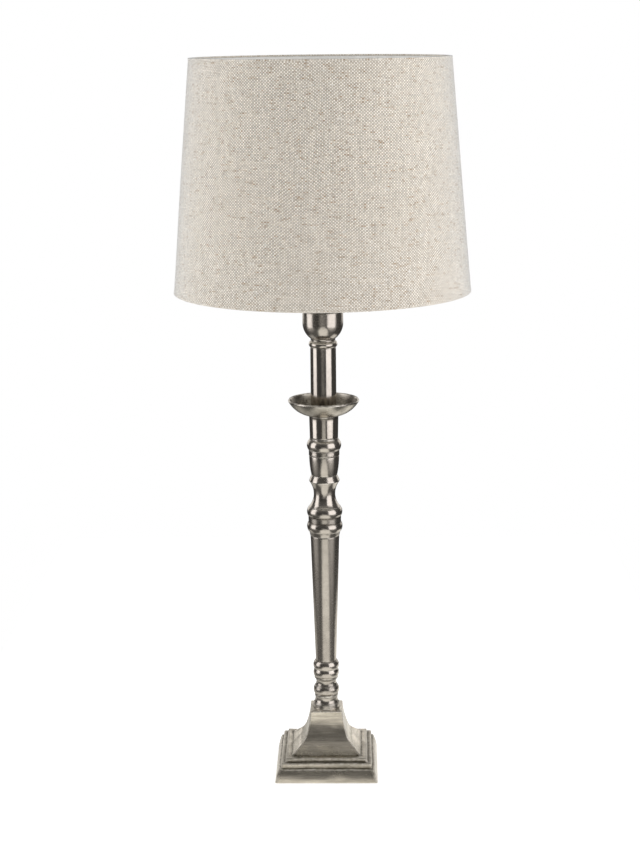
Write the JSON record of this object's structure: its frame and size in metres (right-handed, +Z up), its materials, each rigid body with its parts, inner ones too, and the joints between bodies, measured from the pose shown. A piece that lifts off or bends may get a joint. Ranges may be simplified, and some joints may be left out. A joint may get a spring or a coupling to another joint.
{
  "type": "candlestick table lamp",
  "caption": "Candlestick table lamp with a stepped square base, a turned antique nickel stem with drip pan and candle tube, and a tapered drum shade in natural linen.",
  "frame": {"origin": "centre of the base's underside, on the table", "axes": "+Z up along the stem, front faces -Y, the cord's bush is at the rear, +Y"},
  "size_m": [0.3024, 0.3024, 0.748],
  "materials": {
    "antique_nickel": "antique nickel over a polished casting",
    "iron": "as cast",
    "zinc_steel": "zinc plated",
    "brass": "plain",
    "felt": "pressed felt",
    "black_plastic": "moulded",
    "nickel_plate": "satin nickel plate",
    "fibre": "pressed fibre",
    "porcelain": "unglazed white",
    "linen": "coarse plain weave, natural",
    "lining": "matt white film",
    "white_wire": "white powder coat",
    "solder": "tinned",
    "black_glass": "black glass",
    "bulb_cap_metal": "drawn nickelled sheet",
    "white_plastic": "moulded",
    "opal": "opal diffuser",
    "white_board": "white coated circuit board",
    "green_board": "circuit board"
  },
  "bodies": {
    "stand": {"base_casting": "antique_nickel", "base_weight": "iron", "bottom_plate": "zinc_steel", "plate_screws": "zinc_steel", "felt_pad": "felt", "cable_bush": "black_plastic", "threaded_tube": "zinc_steel", "rod_nut": "brass", "rod_washer": "zinc_steel", "lock_washer": "zinc_steel", "top_nut": "brass", "lower_baluster": "antique_nickel", "column_bead": "antique_nickel", "tapered_column": "antique_nickel", "column_collar": "antique_nickel", "waisted_stem": "antique_nickel", "urn": "antique_nickel", "urn_collar": "antique_nickel", "pan_socket": "antique_nickel", "drip_pan": "antique_nickel", "candle_tube": "antique_nickel", "tube_collar": "antique_nickel", "socket_cup": "antique_nickel", "holder_cap": "nickel_plate", "grub_screw": "zinc_steel", "holder_body": "nickel_plate", "contact_block": "porcelain", "terminal_screws": "brass", "thread_shell": "brass", "centre_contact": "brass"},
    "shade": {"shade_linen": "linen", "shade_lining": "lining", "bottom_roll": "linen", "top_roll": "linen", "top_wire": "white_wire", "bottom_wire": "white_wire", "fitter_arms": "white_wire", "fitter_ring": "white_wire"},
    "ring_lift": {"ring_washer": "fibre"},
    "ring": {"clamp_ring": "nickel_plate"},
    "bulb_lift": {"bulb_tip": "solder"},
    "bulb": {"bulb_cap": "bulb_cap_metal", "bulb_insulator": "black_glass", "bulb_housing": "white_plastic", "bulb_globe": "opal", "led_board": "white_board", "driver_board": "green_board"}
  },
  "joints": [
    {"name": "shade_turn", "type": "hinge", "parent": "stand", "child": "shade", "pos_m": [0, 0, 0.522], "axis": [0, 0, 1], "continuous": true},
    {"name": "ring_rise", "type": "slide", "parent": "stand", "child": "ring_lift", "axis": [0, 0, 1], "range_m": [0, 0.00751]},
    {"name": "ring_turn", "type": "hinge", "parent": "ring_lift", "child": "ring", "pos_m": [0, 0, 0.525], "axis": [0, 0, 1], "range_deg": [0, 1080]},
    {"name": "bulb_rise", "type": "slide", "parent": "stand", "child": "bulb_lift", "axis": [0, 0, 1], "range_m": [0, 0.01453]},
    {"name": "bulb_turn", "type": "hinge", "parent": "bulb_lift", "child": "bulb", "pos_m": [0, 0, 0.53], "axis": [0, 0, 1], "range_deg": [0, 1440]}
  ],
  "couplings": [
    {"joint": "ring_rise", "follows": "ring_turn", "m_per_rad": 0.00039789},
    {"joint": "bulb_rise", "follows": "bulb_turn", "m_per_rad": 0.00057773}
  ]
}
